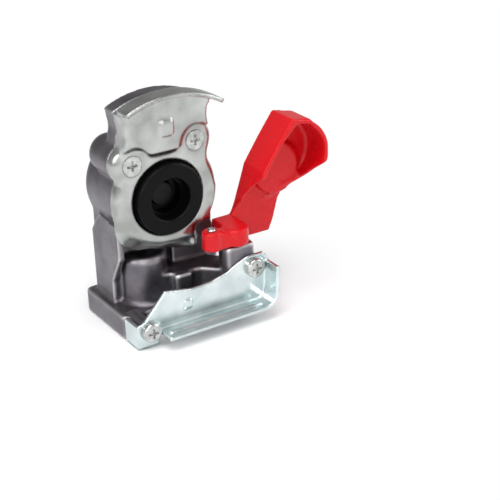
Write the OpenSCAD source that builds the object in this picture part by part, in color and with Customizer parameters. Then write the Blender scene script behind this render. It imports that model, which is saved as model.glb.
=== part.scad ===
// Coupling head for a trailer air brake line, with a hinged cover.
// Origin: centre of the threaded port at the underside of the base. X runs right along the plate face,
// -Y comes out of the face and Z is up. Shapes on the face are drawn as [x, z, out] from the ring's centre.

/* [Frame] */
// Height of the sealing ring's centre above the base
seal_z = 62; // [60:0.5:66]
// Sideways offset of the sealing ring from the port axis
seal_x = 8; // [6:0.5:10]
// Distance from the port axis forward to the plate face
face_reach = 20; // [19:0.5:22]

/* [Housing] */
// Width of the base flange
base_w = 38; // [36:0.5:42]
// Depth of the base flange
base_d = 39; // [36:0.5:44]
// Thickness of the base flange
base_h = 11; // [8:0.5:13]
// Diameter of the barrel behind the plate
barrel_d = 47; // [44:0.5:47]
// Depth of the barrel behind the plate face
barrel_len = 37; // [36:0.5:42]
// Core diameter of the M16 x 1.5 port thread
port_d = 14.5; // [12:0.5:16]
// Depth of the tapped port
port_depth = 14; // [10:0.5:18]
// Diameter of the port boss on the front of the neck
boss_d = 21; // [19:0.5:24]
// Wall of the side rib
rib_t = 3; // [2:0.5:4]

/* [Claw plate] */
// Sheet thickness of the plate
plate_t = 2; // [1.5:0.25:2.5]
// Outer radius of the plate around the ring
plate_r = 26; // [26:0.25:28]
// Depth of the rolled edge behind the face
rim_depth = 6; // [5:0.5:8]
// Radius of the rolled edge
roll_r = 4; // [3:0.5:4.5]
// Radius of the plate around each plate screw
lobe_r = 9.5; // [9:0.25:11]
// Height of the stepped upper panel over the face
step_h = 3; // [2:0.5:3.5]
// Outer radius of the claw flange from the ring's centre
claw_r = 49.5; // [48:0.5:53]
// Forward reach of the claw flange
claw_out = 8; // [6:0.5:12]

/* [Sealing ring] */
// Outer radius of the rubber ring
ring_r = 16.7; // [15:0.1:17]
// Radius of the ring's through hole
ring_hole_r = 8; // [6:0.5:9]
// Height of the lip over the plate face
lip_h = 3.2; // [2:0.2:3.4]

/* [Cover] */
// Hinge axis to the right of the ring's centre
hinge_x = 29; // [28:0.5:32]
// Hinge axis in front of the plate face
hinge_out = 7.5; // [7:0.25:9]
// Height of the hinge lug's top below the ring's centre
lug_drop = 27; // [26:0.5:29]
// Wall of the moulded cover
cover_t = 2.4; // [2:0.2:3]
// Depth of the hood behind the open rim
hood_h = 15; // [12:0.5:16]
// Gap between the closed rim and the plate's raised panel
rim_gap = 0.8; // [0.5:0.1:2]
// Diameter of the hinge pin
pin_d = 4; // [3:0.5:5]
// Reach of the cover's stop lug from the hinge axis
stop_reach = 17; // [15:0.5:17.5]

/* [Guide bracket] */
// Sheet thickness of the bracket
tray_t = 2; // [1.5:0.25:2.5]
// Bracket panel's back in front of the plate face
tray_out = 12; // [11:0.5:13]
// Forward reach of the tray from the panel
tray_reach = 10; // [7:0.5:13]
// Drop of the tray floor below the ring's centre
tray_drop = 56.5; // [54:0.5:58]

/* [Fasteners] */
// Thread diameter of the plate and bracket screws
screw_d = 5; // [4:0.5:5]
// Head diameter of the screws
screw_head_d = 9.2; // [8:0.2:10]
// Length of the plate screws under the face
plate_screw_len = 16; // [10:1:22]
// Length of the bracket screws under the head
tray_screw_len = 9; // [7:0.5:10]

/* [Valve] */
// Radius of the valve chamber
chamber_r = 12.5; // [11.5:0.5:13]
// Radius of the valve plunger's disc
disc_r = 10.5; // [9.5:0.5:11]
// Radius of the plunger's stem
stem_r = 3; // [2.5:0.25:3.5]
// Opening travel of the plunger
valve_travel = 3.5; // [2:0.5:4]
// Wire diameter of the valve spring
wire_d = 1.2; // [0.8:0.1:1.4]

/* [Hidden] */
$fn = 64;
eps = 0.01;
// Running fit, seat gap and sheet gap
run_fit = 0.05;
seat_gap = 0.2;
edge_gap = 0.3;

// Plate screws, [x, z] from the ring's centre
screw_left = [-16.5, 18.5];
screw_right = [15, 23.5];
// Ends of the claw flange, degrees left and right of straight up
claw_left = 26;
claw_right = 32;
// Lower corners of the plate: centres and radius
foot_left = [-11.5, -10.5];
foot_right = [8.5, -14.5];
foot_r = 13.5;
foot_sink = 1.2;
waist_left = screw_left[0] - 3.5;
waist_right = screw_right[0] + 5.5;
// Casting surfaces behind the plate
cast_front = -plate_t - seat_gap;
cast_rim = -rim_depth - edge_gap;
horn_back = -15;
lobe_back = -26;
base_z = -seal_z;
base_top = base_z + base_h;
base_x = -seal_x;
base_front = 1.4;
neck_back = -face_reach - 15;
// Bores in the casting
seat_r = ring_r + edge_gap;
seat_back = -8.3;
chamber_back = -24;
guide_r = 6;
guide_back = -34;
passage_r = port_d / 2 - 1.5;
// Hinge
lug_r = 8;
lug_top = -lug_drop;
lug_foot = base_z + 4;
pin_set = 8;
pin_cap = 2;
arm_top = lug_top - 10.5;
knuckle_r = 6;
arm_left = -4.5;
knuckle_low = lug_top + edge_gap;
knuckle_top = lug_top + 8.5;
// Hood, with the cover open
rim_out = 2 * hinge_out - step_h - rim_gap;
hood_floor = rim_out - hood_h;
pad_r = 12.5;
pad_h = 3;
stop_r = 4.6;
stop_top = lug_top + 9.5;
stop_in = stop_reach - stop_r;
stop_pin_d = 4;
stop_pin_up = 1;
stop_pin_in = 6;
swing_r = stop_reach + 0.8;
swing_top = stop_top + 1;
// Bracket
panel_front = tray_out + tray_t;
tray_top_right = lug_top - 5.1;
arm_low = tray_top_right + 0.6;
tray_left = base_x - base_w / 2;
tab_right = tray_left + 11;
foot_z = base_z + 0.6;
screw_low = [tray_left + 6.5, base_z + 8];
screw_up = [hinge_x + 5.2, tray_top_right - 5.9];
screw_boss_r = 4.2;
lug_boss_r = 5.2;
lug_boss_len = 10;
// Tray floor, its turn up as [x from the upper screw, share of the rise], and the right wall
tray_floor = -tray_drop + tray_t / 2;
tray_corner = min(tray_floor + 7.5, screw_up[1] - 9.5);
tray_turn = [[0.5, 0], [3.6, 0.1], [5.6, 0.42], [6.5, 1]];
bead_left = tab_right + 2;
tray_path = concat([[tab_right, tray_floor]],
                   [for (t = tray_turn) [screw_up[0] + t[0], tray_floor + t[1] * (tray_corner - tray_floor)]],
                   [[screw_up[0] + 7, tray_top_right - 4]]);
pan_h = 3;
// Valve
disc_t = 3;
disc_front = seat_back - edge_gap;
disc_back = disc_front - disc_t;
stem_back = disc_back - 17;
bush_t = 2.5;
bush_len = 7;
spring_turns = 4;
spring_r = stem_r + 2.6;
spring_front = disc_back - 0.1 - wire_d / 2;
bush_front = chamber_back + bush_t;
spring_back = bush_front + 0.1 + wire_d / 2;

// Places children in the face frame, [x, z, out]
module on_face() {
  translate([seal_x, -face_reach, seal_z]) rotate([90, 0, 0]) children();
}

// Places children upright at a point of the face frame, z from the ring's centre
module upright(x, out, z) {
  translate([seal_x + x, -face_reach - out, seal_z + z]) children();
}

// Extrudes a face drawing between two depths
module between(from, to) {
  translate([0, 0, from]) linear_extrude(to - from) children();
}

// Round post with a rounded foot edge
module post(r, h, edge) {
  rotate_extrude() intersection() {
    square([r, h]);
    union() {
      square([r - edge, h]);
      translate([0, edge]) square([r, h - edge]);
      translate([r - edge, edge]) circle(edge);
    }
  }
}

// Disc whose front edge rolls back, front at zero
module rolled_disc(r, edge, depth) {
  mirror([0, 0, 1]) post(r, depth, edge);
}

// Rounded rectangle centred on the origin
module soft_rect(w, h, r) {
  square([w, h - 2 * r], center = true);
  square([w - 2 * r, h], center = true);
  for (sx = [-1, 1], sy = [-1, 1]) translate([sx * (w / 2 - r), sy * (h / 2 - r)]) circle(r);
}

// Circular sector about the ring's centre, between two angles from straight up
module sector(r, left, right) {
  reach = 2 * r;
  intersection() {
    circle(r);
    polygon([[0, 0], reach * [-sin(left), cos(left)], reach * [sin(right), cos(right)]]);
  }
}

// Unit vector from one point to the next
function heading(a, b) = (b - a) / norm(b - a);

// Mitred points beside a bent path, left of it for a positive distance
function beside(path, d) = [for (i = [0 : len(path) - 1])
  let (last = len(path) - 1, a = heading(path[max(i - 1, 0)], path[max(i, 1)]),
       b = heading(path[min(i, last - 1)], path[min(i + 1, last)]), m = (a + b) / (1 + a * b))
  path[i] + d * [-m[1], m[0]]];

// The same points from the last to the first
function backwards(points) = [for (i = [len(points) - 1 : -1 : 0]) points[i]];

// Strip of sheet that follows a bent path
module bent_strip(path, t) {
  polygon(concat(beside(path, -t / 2), backwards(beside(path, t / 2))));
}

// Cross recess cut into a screw head whose top is at zero
module cross_recess() {
  for (turn = [0, 90]) rotate(turn) translate([0, 0, -0.6]) cube([5, 1.1, 1.3], center = true);
}

// Countersunk screw, head flush with zero, shank going down
module flush_screw(length) {
  head_h = (screw_head_d - screw_d) / 2;
  difference() {
    union() {
      translate([0, 0, -head_h]) cylinder(d1 = screw_d, d2 = screw_head_d, h = head_h);
      translate([0, 0, -length]) cylinder(d = screw_d, h = length - head_h + eps);
    }
    cross_recess();
  }
}

// Pan screw, head underside at zero, shank going down
module pan_screw(length) {
  dome = 1.4;
  difference() {
    union() {
      translate([0, 0, pan_h]) mirror([0, 0, 1]) post(screw_head_d / 2, pan_h, dome);
      translate([0, 0, -length]) cylinder(d = screw_d, h = length + eps);
    }
    translate([0, 0, pan_h]) cross_recess();
  }
}

// Hole for a flush screw with its countersink, face at zero
module flush_hole(length) {
  head_h = (screw_head_d - screw_d) / 2;
  translate([0, 0, -length]) cylinder(d = screw_d + 2 * run_fit, h = length);
  translate([0, 0, -head_h]) cylinder(d1 = screw_d + 2 * run_fit, d2 = screw_head_d + 2 * run_fit, h = head_h);
  cylinder(d = screw_head_d + 2 * run_fit, h = step_h + 1);
}

// Cylinder that the cover's stop lug sweeps
module swing_room() {
  upright(hinge_x, hinge_out, lug_top) cylinder(r = swing_r, h = swing_top - lug_top);
}

// Round wire coil along Z between two heights
module coil(r, wire, low, high, turns) {
  sides = 8;
  steps = 20 * turns;
  points = [for (i = [0 : steps]) for (k = [0 : sides - 1])
    let (a = 360 * turns * i / steps, b = 360 * k / sides, rr = r + wire / 2 * cos(b))
    [rr * cos(a), rr * sin(a), low + (high - low) * i / steps + wire / 2 * sin(b)]];
  walls = [for (i = [0 : steps - 1]) for (k = [0 : sides - 1])
    let (n = (k + 1) % sides) [i * sides + k, (i + 1) * sides + k, (i + 1) * sides + n, i * sides + n]];
  start = [for (k = [0 : sides - 1]) k];
  end = [for (k = [sides - 1 : -1 : 0]) steps * sides + k];
  polyhedron(points, concat(walls, [start, end]));
}

// Casting inside a round part of the plate, stepped to clear its rolled edge
module plate_core(r) {
  between(cast_rim - eps, cast_front - roll_r + plate_t) circle(r - plate_t - edge_gap);
  between(cast_rim - eps, cast_front) circle(r - roll_r);
}

// Casting behind the plate: barrel, screw lobes and claw horn
module casting_head() {
  translate([0, 0, -barrel_len]) post(barrel_d / 2, barrel_len + cast_rim, 4);
  plate_core(plate_r);
  for (p = [screw_left, screw_right]) translate([p[0], p[1], 0]) {
    translate([0, 0, lobe_back]) post(lobe_r - 0.6, cast_rim - lobe_back, 3);
    plate_core(lobe_r);
  }
  between(horn_back, cast_rim) upper_outline(0.5);
  between(cast_rim - eps, cast_front) upper_outline(plate_t + edge_gap);
}

// Neck, port boss, ribs and base flange
module casting_foot() {
  neck_w = base_w - 10;
  neck_d = 20;
  boss_y = -7;
  boss_h = 23;
  linear_extrude(base_h) translate([0, -face_reach - base_front + base_d / 2])
    soft_rect(base_w, base_d, 3);
  translate([0, 0, base_h - eps]) linear_extrude(seal_z - base_h - 8) translate([0, 5])
    soft_rect(neck_w, neck_d, 4);
  translate([0, boss_y, base_h - eps]) {
    translate([0, 0, boss_h]) mirror([0, 0, 1]) post(boss_d / 2, boss_h, 3);
    cylinder(r1 = boss_d / 2 + 1.5, r2 = boss_d / 2, h = 1.5);
  }
  // Side rib whose front edge leans forward to the plate
  on_face() translate([base_x - base_w / 2 + 4, 0, 0]) rotate([0, 90, 0])
    linear_extrude(rib_t) polygon([[-neck_back - 2, base_top - eps], [15, base_top - eps], [15, -40],
      [-cast_rim + 0.6, -27], [-cast_rim + 0.6, -12], [24, -10], [-neck_back - 2, -20]]);
  // Short gusset beside the boss
  on_face() translate([base_x - base_w / 2 + 9, 0, 0]) rotate([0, 90, 0])
    linear_extrude(2) polygon([[24, base_top - eps], [13, base_top - eps], [13, -41.5], [24, -34]]);
}

// Arm that carries the bracket and the hinge lug
module casting_arm() {
  upright(0, 0, lug_foot) linear_extrude(arm_top - lug_foot)
    polygon([[-6, face_reach + 4], [-6, 3], [14, -1], [hinge_x - 5, -tray_out + 1],
             [hinge_x + 6, -tray_out + 1], [hinge_x + 7, -4], [hinge_x - 4, 9], [8, face_reach + 4]]);
  difference() {
    upright(hinge_x, hinge_out, lug_foot) mirror([0, 0, 1]) translate([0, 0, lug_foot - lug_top])
      post(lug_r, lug_top - lug_foot, 1);
    on_face() translate([hinge_x - 2 * lug_r, lug_foot - 1, tray_out])
      cube([4 * lug_r, lug_drop + 20, lug_r]);
  }
  // Step block between boss and arm
  upright(5, -4, base_top - eps) linear_extrude(13) soft_rect(9, 12, 2);
  // Standing boss for the lower bracket screw
  on_face() translate([screw_low[0], screw_low[1], base_front - 4])
    cylinder(r = screw_boss_r, h = tray_out - base_front + 4);
  // Boss for the upper bracket screw on the side of the lug
  on_face() translate([screw_up[0], screw_up[1], tray_out - lug_boss_len])
    cylinder(r = lug_boss_r, h = lug_boss_len);
  // Web behind the hinge, from the barrel down to the arm
  on_face() between(-16, -11)
    polygon([[6, arm_top - 3], [6, -16], [20, -8], [25, -14], [30, lug_top - 2], [30, arm_top - 3]]);
}

module housing() color("#77787c") difference() {
  union() {
    on_face() casting_head();
    casting_foot();
    casting_arm();
  }
  on_face() {
    between(seat_back, 1) circle(seat_r);
    between(chamber_back, seat_back + eps) circle(chamber_r);
    between(guide_back, chamber_back + eps) circle(guide_r + run_fit);
    for (p = [screw_left, screw_right]) translate([p[0], p[1], 0]) flush_hole(plate_screw_len + 1);
    for (p = [screw_low, screw_up]) translate([p[0], p[1], panel_front - tray_screw_len - 0.5])
      cylinder(d = screw_d + 2 * run_fit, h = tray_screw_len + 1);
  }
  translate([0, 0, -1]) cylinder(d = port_d, h = port_depth + 1);
  cylinder(r = passage_r, h = seal_z - 9);
  upright(hinge_x, hinge_out, lug_top - pin_set) cylinder(d = pin_d, h = pin_set + 1);
  swing_room();
}

// Upper plate between the screw lobes and the claw flange, waisted below the flange
module upper_outline(inset) {
  left = waist_left + inset;
  right = waist_right - inset;
  intersection() {
    circle(claw_r - plate_t - inset);
    polygon([[left, 6], [left - 2, 24], [left, 34], [left - 1, 41], [left - 5.5, claw_r],
             [right + 4.5, claw_r], [right + 1, 41], [right, 34], [right + 2, 24], [right, 6]]);
  }
}

// Raised panel above the flat face, its lower edge passing over both screws
module upper_panel(inset) {
  fold = screw_left[1] + 3.5 + inset;
  difference() {
    upper_outline(inset);
    translate([-claw_r, fold - claw_r]) square([2 * claw_r, claw_r]);
    for (p = [screw_left, screw_right]) translate(p) circle(lobe_r - 1 + inset);
  }
}

module claw_plate() color("#c9ccd0") difference() {
  on_face() difference() {
    union() {
      rolled_disc(plate_r, roll_r, rim_depth);
      for (p = [foot_left, foot_right]) translate(p) between(-rim_depth, -foot_sink) circle(foot_r);
      for (p = [screw_left, screw_right]) translate([p[0], p[1], 0]) rolled_disc(lobe_r, roll_r, rim_depth);
      between(-rim_depth, 0) upper_outline(0);
      between(-eps, step_h) upper_panel(0);
      // Forward-bent claw flange
      between(-plate_t, claw_out) difference() {
        sector(claw_r, claw_left, claw_right);
        circle(claw_r - plate_t);
      }
      translate([-0.5, 33.5, step_h - eps]) linear_extrude(1.4) soft_rect(6, 7, 0.8);
    }
    // Hollow behind the sheet
    translate([0, 0, -plate_t]) {
      rolled_disc(plate_r - plate_t, roll_r - plate_t, rim_depth);
      for (p = [foot_left, foot_right]) translate(p) between(-rim_depth, -foot_sink) circle(foot_r - plate_t);
      for (p = [screw_left, screw_right]) translate([p[0], p[1], 0])
        rolled_disc(lobe_r - plate_t, roll_r - plate_t, rim_depth);
      between(-rim_depth, 0) upper_outline(plate_t);
      between(-eps, step_h) upper_panel(plate_t);
    }
    between(-rim_depth, step_h) circle(seat_r + 0.3);
    for (p = [screw_left, screw_right]) translate([p[0], p[1], 0]) flush_hole(plate_screw_len);
  }
  swing_room();
}

module plate_screw_left() color("#d4d6d8")
  on_face() translate([screw_left[0], screw_left[1], 0]) flush_screw(plate_screw_len);

module plate_screw_right() color("#d4d6d8")
  on_face() translate([screw_right[0], screw_right[1], 0]) flush_screw(plate_screw_len);

// Rubber ring with a raised lip and a sunk web round its hole
module sealing_ring() color("#1b1c1e") on_face() rotate_extrude() {
  lip_r = (ring_r + ring_hole_r) / 2 + 0.6;
  lip_w = 3.4;
  lip_edge = 1.4;
  web_t = 5.5;
  translate([ring_hole_r, seat_back + 0.1]) square([ring_r - ring_hole_r, web_t]);
  translate([lip_r - lip_w, seat_back + 1]) square([2 * lip_w, lip_h - seat_back - 1 - lip_edge]);
  translate([lip_r - lip_w + lip_edge, seat_back + 1]) square([2 * (lip_w - lip_edge), lip_h - seat_back - 1]);
  for (side = [-1, 1]) translate([lip_r + side * (lip_w - lip_edge), lip_h - lip_edge]) circle(lip_edge);
  translate([ring_r - 2, seat_back + 1]) square([2, -seat_back - 1 - 0.4]);
}

// Left edge of the hood from the arm up to its corner, [x from the hinge axis, z]
hood_left = [[4.6, -22], [7.6, -13.7], [10.5, -5.5], [14, 4.7], [22, 16], [30, 26.5]];
hood_mid = [32.5, 7.5];
hood_r = 17.8;

// Hood outline with the cover open
module hood_outline(inset) {
  edge = [for (p = hood_left) p + inset * [1.1, p[1] > hood_mid[1] + hood_r ? -1.3 : 0]];
  intersection() {
    union() {
      translate(hood_mid) circle(hood_r - inset);
      polygon([[4 + inset, -22 + inset], [14 + inset, 5], [hood_mid[0], 10], [44 - inset, -4],
               [40.9 - inset, -6.9 + inset], [29.3 - inset, -13.2 + inset], [18 - inset, -22 + inset]]);
      polygon([[12, 0], [22, 16], [30, 26.5 - inset], [41, 24.3 - inset], [hood_mid[0] + 10, hood_mid[1]]]);
    }
    polygon(concat(edge, [[60, 20.5 - inset], [60, -40], [4.6 + inset, -40]]));
  }
}

// Arm from the hood down to the hinge
module arm_outline() {
  polygon([[arm_left, arm_low], [arm_left, -21], [4.2, -21], [7.6, -13.7], [14, -2], [38, -6], [31, -16], [28, -26],
           [25.5, arm_low]]);
}

module cover() color("#d2161f") difference() {
  upright(hinge_x, hinge_out, 0) rotate([90, 0, 0]) union() {
    floor_in = hood_floor - hinge_out;
    rim_in = rim_out - hinge_out;
    between(floor_in - cover_t, floor_in) {
      hood_outline(0);
      arm_outline();
    }
    // Skirt, cut on a slant so that it fades towards the arm
    intersection() {
      between(floor_in - eps, rim_in) difference() {
        hood_outline(0);
        hood_outline(cover_t);
      }
      rotate([0, 90, 0]) linear_extrude(100, center = true)
        polygon([[-floor_in + 1, -16], [-floor_in - 1, -14], [-floor_in - 4, -8], [-floor_in - 9, -2.5],
                 [-rim_in, 2], [-rim_in, 40], [-floor_in + 1, 40]]);
    }
    // Flat pad over the sealing ring
    between(floor_in - eps, floor_in + pad_h) translate([hinge_x, 0]) circle(pad_r);
    // Knuckle, arm root and stop lug
    between(floor_in - cover_t, 0) translate([arm_left, knuckle_low])
      square([knuckle_r - arm_left, knuckle_top - knuckle_low]);
    translate([0, knuckle_top, 0]) rotate([90, 0, 0]) post(knuckle_r, knuckle_top - knuckle_low, 1.2);
    translate([-stop_in, stop_top, 0]) rotate([90, 0, 0]) post(stop_r, stop_top - knuckle_low, 1.2);
    translate([-stop_in, knuckle_low, -stop_r + 0.8])
      cube([stop_in, stop_top - knuckle_low - 1.5, 2 * stop_r - 1.6]);
  }
  upright(hinge_x, hinge_out, knuckle_low - 1)
    cylinder(d = pin_d + 2 * run_fit, h = knuckle_top - knuckle_low + 1 - pin_cap);
  upright(hinge_x - stop_in, hinge_out, stop_top - stop_pin_in)
    cylinder(d = stop_pin_d, h = stop_pin_in + 1);
}

// Steel pin pressed into the cover's stop lug, with a rounded top
module stop_pin() color("#d9dadb")
  upright(hinge_x - stop_in, hinge_out, stop_top + stop_pin_up) mirror([0, 0, 1])
    post(stop_pin_d / 2, stop_pin_in + stop_pin_up, 0.9);

// Pin pressed into the hinge lug, its top hidden under the knuckle's cap
module hinge_pin() color("#cfd1d3") upright(hinge_x, hinge_out, lug_top - pin_set)
  cylinder(d = pin_d, h = pin_set + knuckle_top - lug_top - pin_cap - edge_gap);

// Panel of the guide bracket with its slanted left edge and dipped top edge
module tray_panel() {
  polygon(concat([[tray_left, foot_z], [tab_right, foot_z]], beside(tray_path, -tray_t / 2),
    [[41.5, tray_top_right - 2], [39.5, tray_top_right], [31, tray_top_right], [26, tray_top_right - 2],
     [20, tray_top_right - 5], [12, tray_top_right - 7], [2, tray_top_right - 7.5], [-12, tray_top_right - 5],
     [tray_left + 3.5, base_top + 1.5], [tray_left, base_top + 0.5]]));
}

module guide_bracket() color("#cfd8da") on_face() difference() {
  union() {
    between(tray_out, panel_front) tray_panel();
    between(panel_front - eps, panel_front + tray_reach) bent_strip(tray_path, tray_t);
    // Return wall back to the base
    translate([tray_left, foot_z, base_front + seat_gap])
      cube([tray_t, base_top + 0.5 - foot_z, panel_front - base_front - seat_gap]);
    // Bead along the tray floor
    translate([bead_left, -tray_drop + tray_t - 0.4, panel_front + 0.55 * tray_reach])
      rotate([0, 90, 0]) cylinder(r = 0.7 * tray_t, h = screw_up[0] - bead_left);
    translate([-1, -46, panel_front - eps]) linear_extrude(0.9) soft_rect(4, 4, 0.7);
  }
  for (p = [screw_low, screw_up]) translate([p[0], p[1], tray_out - 1])
    cylinder(d = screw_d + 2 * edge_gap, h = tray_t + 2);
}

module bracket_screw_lower() color("#d4d6d8")
  on_face() translate([screw_low[0], screw_low[1], panel_front]) pan_screw(tray_screw_len);

module bracket_screw_upper() color("#d4d6d8")
  on_face() translate([screw_up[0], screw_up[1], panel_front]) pan_screw(tray_screw_len);

// Valve disc and stem, resting against the back of the sealing ring
module valve_plunger() color("#2b2c2e") on_face() {
  translate([0, 0, disc_back]) cylinder(r = disc_r, h = disc_t);
  translate([0, 0, disc_front - 0.6]) cylinder(r1 = ring_hole_r - 1.5, r2 = ring_hole_r - 3, h = 3);
  translate([0, 0, stem_back]) cylinder(r = stem_r, h = disc_back - stem_back + eps);
}

module valve_spring() color("#b9bbbd") on_face()
  coil(spring_r, wire_d, spring_back, spring_front, spring_turns);

// Flanged bush that guides the stem and seats the spring
module valve_guide() color("#d8d3c4") on_face() difference() {
  union() {
    translate([0, 0, chamber_back]) cylinder(r = spring_r + wire_d, h = bush_t);
    translate([0, 0, chamber_back - bush_len]) cylinder(r = guide_r, h = bush_len + eps);
  }
  translate([0, 0, chamber_back - bush_len - 1]) cylinder(r = stem_r + run_fit, h = bush_len + bush_t + 2);
}

housing();
claw_plate();
plate_screw_left();
plate_screw_right();
sealing_ring();
cover();
stop_pin();
hinge_pin();
guide_bracket();
bracket_screw_lower();
bracket_screw_upper();
valve_plunger();
valve_spring();
valve_guide();
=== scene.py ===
import math

import bpy
from mathutils import Matrix, Vector


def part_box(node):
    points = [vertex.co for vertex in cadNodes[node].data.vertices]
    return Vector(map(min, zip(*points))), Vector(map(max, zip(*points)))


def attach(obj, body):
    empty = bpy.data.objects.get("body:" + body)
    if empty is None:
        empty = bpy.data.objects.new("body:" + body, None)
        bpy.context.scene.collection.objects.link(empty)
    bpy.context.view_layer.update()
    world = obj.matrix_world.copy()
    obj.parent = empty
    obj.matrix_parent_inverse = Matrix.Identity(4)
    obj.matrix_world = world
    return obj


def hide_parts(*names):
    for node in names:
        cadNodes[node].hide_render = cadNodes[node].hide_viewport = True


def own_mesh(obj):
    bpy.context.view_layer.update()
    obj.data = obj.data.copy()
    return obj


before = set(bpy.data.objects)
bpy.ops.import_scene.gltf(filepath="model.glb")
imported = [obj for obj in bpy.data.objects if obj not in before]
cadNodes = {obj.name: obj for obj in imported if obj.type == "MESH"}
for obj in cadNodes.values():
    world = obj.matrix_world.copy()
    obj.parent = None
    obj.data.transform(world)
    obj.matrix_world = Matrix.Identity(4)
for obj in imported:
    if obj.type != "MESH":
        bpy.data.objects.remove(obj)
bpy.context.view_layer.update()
mm = 0.001
print("stage 1: solids loaded", len(cadNodes))


def hexColour(code):
    parts = [int(code[i:i + 2], 16) / 255 for i in (1, 3, 5)]
    return tuple(c / 12.92 if c <= 0.04045 else ((c + 0.055) / 1.055) ** 2.4 for c in parts) + (1.0,)


def addNode(tree, kind, settings=None, links=None):
    node = tree.nodes.new(kind)
    for key, value in (settings or {}).items():
        if key in node.inputs:
            node.inputs[key].default_value = value
        else:
            setattr(node, key, value)
    for socket, source in (links or {}).items():
        tree.links.new(source, node.inputs[socket])
    return node


def newFinish(name):
    finish = bpy.data.materials.new(name)
    finish.use_nodes = True
    finish.node_tree.nodes.clear()
    return finish, finish.node_tree


# Die-cast aluminium, shot blasted: a dull grey metal skin with faint cloudy patches. Its sharp edges carry a
# painted highlight: a pale colour that stands in for the light they catch.
# The real grit is finer than a pixel, so it is drawn coarser
# The edge colour, from edgeFrom to edgeTo, is a painted highlight on the sharp edges
castLook = {"dark": "#67636a", "pale": "#827e82", "edge": "#d6d3d4", "patchMm": 9.0, "darkFrom": 0.3,
            "paleFrom": 0.75, "gritMm": 0.7, "gritStrength": 0.25, "gritHeightMm": 0.12, "roughLow": 0.32,
            "roughHigh": 0.46, "edgeFrom": 0.508, "edgeTo": 0.565, "easedMm": 1.5}
castAluminium, tree = newFinish("dieCastAluminiumBlasted")
place = addNode(tree, "ShaderNodeTexCoord")
patch = addNode(tree, "ShaderNodeTexNoise", {"Scale": 1 / (castLook["patchMm"] * mm), "Detail": 4.0},
                {"Vector": place.outputs["Object"]})
tone = addNode(tree, "ShaderNodeValToRGB", None, {"Fac": patch.outputs["Fac"]})
tone.color_ramp.elements[0].color = hexColour(castLook["dark"])
tone.color_ramp.elements[0].position = castLook["darkFrom"]
tone.color_ramp.elements[1].color = hexColour(castLook["pale"])
tone.color_ramp.elements[1].position = castLook["paleFrom"]
grit = addNode(tree, "ShaderNodeTexNoise", {"Scale": 1 / (castLook["gritMm"] * mm), "Detail": 2.0},
               {"Vector": place.outputs["Object"]})
shape = addNode(tree, "ShaderNodeNewGeometry")
# Painted highlight: sharp convex edges (high pointiness) are lightened towards the pale edge colour
edgeHighlight = addNode(tree, "ShaderNodeMapRange",
                 {"From Min": castLook["edgeFrom"], "From Max": castLook["edgeTo"]},
                 {"Value": shape.outputs["Pointiness"]})
metal = addNode(tree, "ShaderNodeMixRGB", {"Color2": hexColour(castLook["edge"])},
                {"Fac": edgeHighlight.outputs["Result"], "Color1": tone.outputs["Color"]})
rough = addNode(tree, "ShaderNodeMapRange",
                {"To Min": castLook["roughLow"], "To Max": castLook["roughHigh"]},
                {"Value": grit.outputs["Fac"]})
eased = addNode(tree, "ShaderNodeBevel", {"samples": 6, "Radius": castLook["easedMm"] * mm})
bump = addNode(tree, "ShaderNodeBump",
               {"Strength": castLook["gritStrength"], "Distance": castLook["gritHeightMm"] * mm},
               {"Height": grit.outputs["Fac"], "Normal": eased.outputs["Normal"]})
shader = addNode(tree, "ShaderNodeBsdfPrincipled", {"Metallic": 1.0},
                 {"Base Color": metal.outputs["Color"], "Roughness": rough.outputs["Result"],
                  "Normal": bump.outputs["Normal"]})
addNode(tree, "ShaderNodeOutputMaterial", None, {"Surface": shader.outputs["BSDF"]})


# Bright steel skins: a slightly uneven mirror with soft cloudy changes of sheen
steelLook = {"darkFrom": 0.35, "paleFrom": 0.7, "waveHeightMm": 0.3}


def steelFinish(name, look):
    finish, tree = newFinish(name)
    place = addNode(tree, "ShaderNodeTexCoord")
    cloud = addNode(tree, "ShaderNodeTexNoise", {"Scale": 1 / (look["cloudMm"] * mm), "Detail": 3.0},
                    {"Vector": place.outputs["Object"]})
    tone = addNode(tree, "ShaderNodeValToRGB", None, {"Fac": cloud.outputs["Fac"]})
    tone.color_ramp.elements[0].color = hexColour(look["dark"])
    tone.color_ramp.elements[0].position = steelLook["darkFrom"]
    tone.color_ramp.elements[1].color = hexColour(look["pale"])
    tone.color_ramp.elements[1].position = steelLook["paleFrom"]
    rough = addNode(tree, "ShaderNodeMapRange", {"To Min": look["roughLow"], "To Max": look["roughHigh"]},
                    {"Value": cloud.outputs["Fac"]})
    wave = addNode(tree, "ShaderNodeTexNoise", {"Scale": 1 / (look["waveMm"] * mm), "Detail": 1.0},
                   {"Vector": place.outputs["Object"]})
    rolled = addNode(tree, "ShaderNodeBevel", {"samples": 6, "Radius": look["edgeMm"] * mm})
    bump = addNode(tree, "ShaderNodeBump",
                   {"Strength": look["waveStrength"], "Distance": steelLook["waveHeightMm"] * mm},
                   {"Height": wave.outputs["Fac"], "Normal": rolled.outputs["Normal"]})
    shader = addNode(tree, "ShaderNodeBsdfPrincipled", {"Metallic": 1.0},
                     {"Base Color": tone.outputs["Color"], "Roughness": rough.outputs["Result"],
                      "Normal": bump.outputs["Normal"]})
    addNode(tree, "ShaderNodeOutputMaterial", None, {"Surface": shader.outputs["BSDF"]})
    return finish


# Zinc-plated pressed sheet: bright and gently wavy, so that its reflections run in soft bands
zincPlate = steelFinish("zincPlatedSteelPressed", {
    "dark": "#9b9d9a", "pale": "#c1c3c0", "cloudMm": 12.0, "waveMm": 13.0, "waveStrength": 0.9,
    "roughLow": 0.16, "roughHigh": 0.26, "edgeMm": 2.0})
# Clear-passivated zinc on pressed sheet: paler, with a cold blue-green cast
zincBracket = steelFinish("clearZincSteelPressed", {
    "dark": "#c2cecf", "pale": "#dfe8e9", "cloudMm": 10.0, "waveMm": 6.0, "waveStrength": 0.2,
    "roughLow": 0.18, "roughHigh": 0.3, "edgeMm": 1.2})
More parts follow.
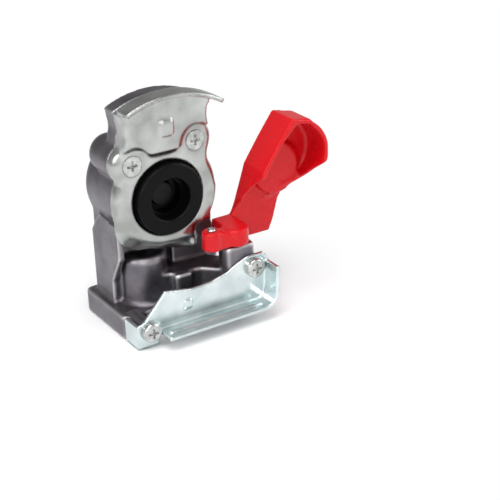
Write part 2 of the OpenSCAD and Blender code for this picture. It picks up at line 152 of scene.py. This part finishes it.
# Zinc-plated screw heads: a little duller than the sheet
zincScrew = steelFinish("zincPlatedScrewSteel", {
    "dark": "#a6a7a5", "pale": "#cfd0ce", "cloudMm": 3.0, "waveMm": 2.0, "waveStrength": 0.1,
    "roughLow": 0.2, "roughHigh": 0.34, "edgeMm": 0.3})
# Turned steel: bright, with sharp small highlights
turnedSteel = steelFinish("turnedBrightSteel", {
    "dark": "#c4c4c2", "pale": "#ececea", "cloudMm": 2.0, "waveMm": 1.5, "waveStrength": 0.05,
    "roughLow": 0.12, "roughHigh": 0.22, "edgeMm": 0.2})


# Plain mouldings: one colour with a fine surface grain
grainHeightMm = 0.1


def mouldedFinish(name, look):
    finish, tree = newFinish(name)
    place = addNode(tree, "ShaderNodeTexCoord")
    grain = addNode(tree, "ShaderNodeTexNoise", {"Scale": 1 / (look["grainMm"] * mm), "Detail": 2.0},
                    {"Vector": place.outputs["Object"]})
    rough = addNode(tree, "ShaderNodeMapRange", {"To Min": look["roughLow"], "To Max": look["roughHigh"]},
                    {"Value": grain.outputs["Fac"]})
    bump = addNode(tree, "ShaderNodeBump", {"Strength": look["bump"], "Distance": grainHeightMm * mm},
                   {"Height": grain.outputs["Fac"]})
    shader = addNode(tree, "ShaderNodeBsdfPrincipled",
                     {"Base Color": hexColour(look["colour"]), "IOR": look["ior"],
                      "Specular IOR Level": look["shine"]},
                     {"Roughness": rough.outputs["Result"], "Normal": bump.outputs["Normal"]})
    addNode(tree, "ShaderNodeOutputMaterial", None, {"Surface": shader.outputs["BSDF"]})
    return finish


# Moulded nylon, glossy: saturated red with clear highlights and a slightly wavy skin
redNylon = mouldedFinish("redNylonGlossMoulded", {
    "colour": "#cb0a15", "grainMm": 6.0, "roughLow": 0.22, "roughHigh": 0.34,
    "bump": 0.12, "ior": 1.53, "shine": 0.28})
# Moulded nitrile rubber: near black with a broad soft sheen
nitrileRubber = mouldedFinish("blackNitrileRubberMoulded", {
    "colour": "#060607", "grainMm": 0.8, "roughLow": 0.3, "roughHigh": 0.45,
    "bump": 0.2, "ior": 1.52, "shine": 0.1})
# Moulded acetal, unpolished: dark and even
blackAcetal = mouldedFinish("blackAcetalMoulded", {
    "colour": "#121315", "grainMm": 1.5, "roughLow": 0.35, "roughHigh": 0.5,
    "bump": 0.1, "ior": 1.48, "shine": 0.2})
# Moulded acetal in its natural colour: creamy and dull
naturalAcetal = mouldedFinish("naturalAcetalMoulded", {
    "colour": "#d9d3c3", "grainMm": 1.5, "roughLow": 0.4, "roughHigh": 0.55,
    "bump": 0.1, "ior": 1.48, "shine": 0.5})
print("stage 2: finishes made")


def dress(obj, finish):
    obj.data.materials.clear()
    obj.data.materials.append(finish)


plainNodes = {"plate_screw_left": zincScrew, "plate_screw_right": zincScrew, "sealing_ring": nitrileRubber,
              "stop_pin": turnedSteel, "hinge_pin": turnedSteel, "bracket_screw_lower": zincScrew,
              "bracket_screw_upper": zincScrew, "valve_plunger": blackAcetal, "valve_guide": naturalAcetal}
for nodeName, finish in plainNodes.items():
    dress(cadNodes[nodeName], finish)


# A copy of a solid whose loose triangles are merged into one mesh
mergeMm = 0.001


def mergedCopy(nodeName, pieceName):
    bpy.ops.object.select_all(action="DESELECT")
    source = cadNodes[nodeName]
    source.select_set(True)
    bpy.context.view_layer.objects.active = source
    bpy.ops.object.duplicate()
    piece = bpy.context.view_layer.objects.active
    piece.name = pieceName
    for key in list(piece.keys()):
        del piece[key]
    piece.parent = None
    piece.matrix_world = Matrix.Identity(4)
    bpy.ops.object.mode_set(mode="EDIT")
    bpy.ops.mesh.select_all(action="SELECT")
    bpy.ops.mesh.remove_doubles(threshold=mergeMm * mm)
    bpy.ops.object.mode_set(mode="OBJECT")
    return piece


# A merged copy remade as an even skin and eased, so that its edges are round as on the real piece
easeFactor = 0.5


def easedCopy(nodeName, look):
    piece = mergedCopy(nodeName, look["name"])
    skin = piece.modifiers.new("skin", "REMESH")
    skin.mode = "VOXEL"
    skin.voxel_size = look["voxelMm"] * mm
    bpy.ops.object.modifier_apply(modifier="skin")
    ease = piece.modifiers.new("ease", "SMOOTH")
    ease.factor = easeFactor
    ease.iterations = look["easeSteps"]
    bpy.ops.object.modifier_apply(modifier="ease")
    bpy.ops.object.shade_smooth()
    dress(piece, look["finish"])
    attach(piece, look["body"])
    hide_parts(nodeName)
    print("eased", look["name"], len(piece.data.polygons))
    return piece


easedCopy("housing", {
    "name": "castBody", "voxelMm": 0.75, "easeSteps": 5, "finish": castAluminium, "body": "head",
    "slot": "cast_aluminium"})
pressedPlate = easedCopy("claw_plate", {
    "name": "pressedPlate", "voxelMm": 0.45, "easeSteps": 16, "finish": zincPlate, "body": "head",
    "slot": "plate_zinc"})
easedCopy("guide_bracket", {
    "name": "pressedTray", "voxelMm": 0.42, "easeSteps": 4, "finish": zincBracket, "body": "head",
    "slot": "bracket_zinc"})
redCover = easedCopy("cover", {
    "name": "redCover", "voxelMm": 0.45, "easeSteps": 16, "finish": redNylon, "body": "cover",
    "slot": "cover_plastic"})


# Further easing of one region, which the real tool or mould leaves broad and soft
def easeRegion(piece, inRegion, steps):
    group = piece.vertex_groups.new(name="softRegion")
    group.add([v.index for v in piece.data.vertices if inRegion(v.co)], 1.0, "REPLACE")
    bpy.ops.object.select_all(action="DESELECT")
    piece.select_set(True)
    bpy.context.view_layer.objects.active = piece
    ease = piece.modifiers.new("soften", "SMOOTH")
    ease.factor = easeFactor
    ease.iterations = steps
    ease.vertex_group = group.name
    bpy.ops.object.modifier_apply(modifier="soften")
    piece.vertex_groups.clear()


def nodeCentre(nodeName):
    low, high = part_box(nodeName)
    return (Vector(low) + Vector(high)) / 2


def faceDistance(point, centre):
    return math.hypot(point.x - centre.x, point.z - centre.z) / mm


# The pressed plate rolls back at its edges and dips softly below the upper panel.
# Its holes, its tab and the cut beside the hinge stay crisp
rollLook = {"frontMm": -15.5, "ringMm": 18.4, "screwMm": 5.4, "flangeMm": 45.5, "tab": (7.5, 95.5),
            "tabMm": 5.5, "hingeMm": 19.5, "steps": 160}
ringCentre = nodeCentre("sealing_ring")
screwCentres = [nodeCentre("plate_screw_left"), nodeCentre("plate_screw_right")]
tabCentre = Vector((rollLook["tab"][0], 0, rollLook["tab"][1])) * mm
hingeCentre = nodeCentre("hinge_pin")


def hingeDistance(point):
    return math.hypot(point.x - hingeCentre.x, point.y - hingeCentre.y) / mm


def inRolledSheet(point):
    return (point.y < rollLook["frontMm"] * mm
            and rollLook["ringMm"] < faceDistance(point, ringCentre) < rollLook["flangeMm"]
            and all(faceDistance(point, c) > rollLook["screwMm"] for c in screwCentres)
            and faceDistance(point, tabCentre) > rollLook["tabMm"]
            and (point.z > ringCentre.z or hingeDistance(point) > rollLook["hingeMm"]))


easeRegion(pressedPlate, inRolledSheet, rollLook["steps"])
# Beside and below the ring the face bows back towards its edge, most at the bottom
chinLook = {"fromMm": 18.4, "toMm": 28.0, "frontMm": -20.0, "backMm": -14.5, "bowMm": 4.5, "lowGain": 1.4,
            "hingeFadeMm": 10.0, "steps": 40}


def inChin(point):
    return (point.y < chinLook["backMm"] * mm and point.z < ringCentre.z
            and faceDistance(point, ringCentre) > chinLook["fromMm"]
            and hingeDistance(point) > rollLook["hingeMm"])


for vertex in pressedPlate.data.vertices:
    if inChin(vertex.co):
        reach = faceDistance(vertex.co, ringCentre)
        share = min(1.0, (reach - chinLook["fromMm"]) / (chinLook["toMm"] - chinLook["fromMm"]))
        low = min(1.0, chinLook["lowGain"] * (ringCentre.z - vertex.co.z) / mm / reach)
        low *= min(1.0, (hingeDistance(vertex.co) - rollLook["hingeMm"]) / chinLook["hingeFadeMm"])
        depth = chinLook["backMm"] - vertex.co.y / mm
        front = min(1.0, depth / (chinLook["backMm"] - chinLook["frontMm"]))
        vertex.co.y += chinLook["bowMm"] * mm * share ** 2 * low * front
easeRegion(pressedPlate, inChin, chinLook["steps"])
# The hood's outer end is one broad curve
hoodLook = {"fromMm": 71.0, "steps": 60}
easeRegion(redCover, lambda point: point.x > hoodLook["fromMm"] * mm, hoodLook["steps"])

# The valve spring is squeezed between its bush and the plunger, which the rigid coil can't show; its copy here
# keeps the coil's full length
springLook = {"name": "valveCoil", "bushMm": 1.5, "travelMm": 3.5}
valveCoil = mergedCopy("valve_spring", springLook["name"])
bpy.ops.object.shade_smooth()
dress(valveCoil, turnedSteel)
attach(valveCoil, "head")
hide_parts("valve_spring")
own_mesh(valveCoil)
print("stage 3: eased skins made")

# Studio paper: pale and dull. It keeps the shadow near the head and fades to white beyond it
floorLook = {"sizeM": 8.0, "dropM": 0.0003, "colour": "#f6f6f6", "fadeFromM": 0.08, "fadeToM": 0.16}
bpy.ops.object.select_all(action="DESELECT")
bpy.ops.mesh.primitive_plane_add(size=floorLook["sizeM"], location=(0, 0, -floorLook["dropM"]))
floor = bpy.context.active_object
floor.name = "paleFloor"
floorFinish, tree = newFinish("paleStudioPaper")
place = addNode(tree, "ShaderNodeTexCoord")
spread = addNode(tree, "ShaderNodeVectorMath", {"operation": "LENGTH"}, {0: place.outputs["Object"]})
fade = addNode(tree, "ShaderNodeMapRange",
               {"From Min": floorLook["fadeFromM"], "From Max": floorLook["fadeToM"]},
               {"Value": spread.outputs["Value"]})
rays = addNode(tree, "ShaderNodeLightPath")
seen = addNode(tree, "ShaderNodeMath", {"operation": "MAXIMUM"},
               {0: rays.outputs["Is Camera Ray"], 1: rays.outputs["Is Transmission Ray"]})
whiteShare = addNode(tree, "ShaderNodeMath", {"operation": "MULTIPLY"},
                     {0: fade.outputs["Result"], 1: seen.outputs["Value"]})
paper = addNode(tree, "ShaderNodeBsdfDiffuse", {"Color": hexColour(floorLook["colour"])})
white = addNode(tree, "ShaderNodeEmission", {"Color": (1, 1, 1, 1), "Strength": 1.0})
mixed = addNode(tree, "ShaderNodeMixShader", None,
                {0: whiteShare.outputs["Value"], 1: paper.outputs["BSDF"], 2: white.outputs["Emission"]})
addNode(tree, "ShaderNodeOutputMaterial", None, {"Surface": mixed.outputs["Shader"]})
dress(floor, floorFinish)

# A white room. Metal shows it bright in front of the table and dimmer behind and above
roomLook = {"fillColour": (0.97, 0.98, 1.0, 1), "fill": 0.55, "frontY": -0.7, "backY": 0.35, "front": 0.95,
            "back": 0.42, "highZ": 0.8, "highShare": 0.75}
world = bpy.data.worlds.new("whiteStudio")
bpy.context.scene.world = world
world.use_nodes = True
tree = world.node_tree
tree.nodes.clear()
rays = addNode(tree, "ShaderNodeLightPath")
fill = addNode(tree, "ShaderNodeBackground", {"Color": roomLook["fillColour"], "Strength": roomLook["fill"]})
aim = addNode(tree, "ShaderNodeTexCoord")
parts = addNode(tree, "ShaderNodeSeparateXYZ", None, {"Vector": aim.outputs["Generated"]})
along = addNode(tree, "ShaderNodeMapRange",
                {"From Min": roomLook["frontY"], "From Max": roomLook["backY"],
                 "To Min": roomLook["front"], "To Max": roomLook["back"]},
                {"Value": parts.outputs["Y"]})
height = addNode(tree, "ShaderNodeMapRange",
                 {"From Min": 0.0, "From Max": roomLook["highZ"],
                  "To Min": 1.0, "To Max": roomLook["highShare"]},
                 {"Value": parts.outputs["Z"]})
strength = addNode(tree, "ShaderNodeMath", {"operation": "MULTIPLY"},
                   {0: along.outputs["Result"], 1: height.outputs["Result"]})
room = addNode(tree, "ShaderNodeBackground", {"Color": (1, 1, 1, 1)},
               {"Strength": strength.outputs["Value"]})
sweep = addNode(tree, "ShaderNodeBackground", {"Color": (1, 1, 1, 1), "Strength": 1.0})
shiny = addNode(tree, "ShaderNodeMath", {"operation": "MAXIMUM"},
                {0: rays.outputs["Is Glossy Ray"], 1: rays.outputs["Is Transmission Ray"]})
first = addNode(tree, "ShaderNodeMixShader", None,
                {0: shiny.outputs["Value"], 1: fill.outputs["Background"], 2: room.outputs["Background"]})
second = addNode(tree, "ShaderNodeMixShader", None,
                 {0: rays.outputs["Is Camera Ray"], 1: first.outputs["Shader"], 2: sweep.outputs["Background"]})
addNode(tree, "ShaderNodeOutputWorld", None, {"Surface": second.outputs["Shader"]})

# Soft lamps, all aimed at the middle of the head
lampLooks = [
    {"name": "topSoftbox", "at": (-0.15, -0.2, 0.75), "sizeM": 0.55, "watts": 3.8},
    {"name": "rightSoftbox", "at": (0.7, -0.35, 0.4), "sizeM": 0.45, "watts": 1.8},
    {"name": "leftStrip", "at": (-0.65, -0.15, 0.35), "sizeM": 0.3, "watts": 1.2},
    {"name": "frontStrip", "at": (-0.35, -0.6, 0.3), "sizeM": 0.16, "watts": 0.9},
]
lampAim = Vector((0.01, -0.015, 0.055))
for look in lampLooks:
    bpy.ops.object.light_add(type="AREA", location=look["at"])
    lamp = bpy.context.active_object
    lamp.name = look["name"]
    lamp.data.size = look["sizeM"]
    lamp.data.energy = look["watts"]
    lamp.rotation_euler = (lampAim - Vector(look["at"])).to_track_quat("-Z", "Y").to_euler()
print("stage 4: floor and light placed")

# Camera at the photograph's angle: turned about the head, aimed past it so that the head sits upper left
cameraLook = {"azimuth": -27.94, "elevation": 22.84, "roll": -3.69, "distanceM": 0.6, "pixelsPerM": 2233.0,
              "headAt": (164.5, 205.7), "about": (0.01, -0.012, 0.055), "imagePixels": 500,
              "sensorMm": 36.0, "clipM": (0.01, 50.0)}
azimuth = math.radians(cameraLook["azimuth"])
elevation = math.radians(cameraLook["elevation"])
roll = math.radians(cameraLook["roll"])
back = Vector((math.sin(azimuth) * math.cos(elevation), -math.cos(azimuth) * math.cos(elevation),
               math.sin(elevation)))
level = Vector((math.cos(azimuth), math.sin(azimuth), 0))
rise = back.cross(level)
right = math.cos(roll) * level + math.sin(roll) * rise
up = math.cos(roll) * rise - math.sin(roll) * level
half = cameraLook["imagePixels"] / 2
eye = Vector(cameraLook["about"]) + back * cameraLook["distanceM"]
offRight = (half - cameraLook["headAt"][0]) / cameraLook["pixelsPerM"]
offUp = (half - cameraLook["headAt"][1]) / cameraLook["pixelsPerM"]
aimAt = Vector(cameraLook["about"]) + right * offRight - up * offUp
out = (eye - aimAt).normalized()
side = (right - out * right.dot(out)).normalized()
top = out.cross(side)
bpy.ops.object.camera_add(location=eye)
camera = bpy.context.active_object
camera.name = "photoCamera"
camera.rotation_euler = Matrix((side, top, out)).transposed().to_euler()
camera.data.sensor_width = cameraLook["sensorMm"]
pixelsAcross = cameraLook["pixelsPerM"] * cameraLook["distanceM"]
camera.data.lens = cameraLook["sensorMm"] * pixelsAcross / cameraLook["imagePixels"]
camera.data.clip_start, camera.data.clip_end = cameraLook["clipM"]
bpy.context.scene.camera = camera
bpy.context.scene.view_settings.view_transform = "Standard"
print("stage 5: camera placed")
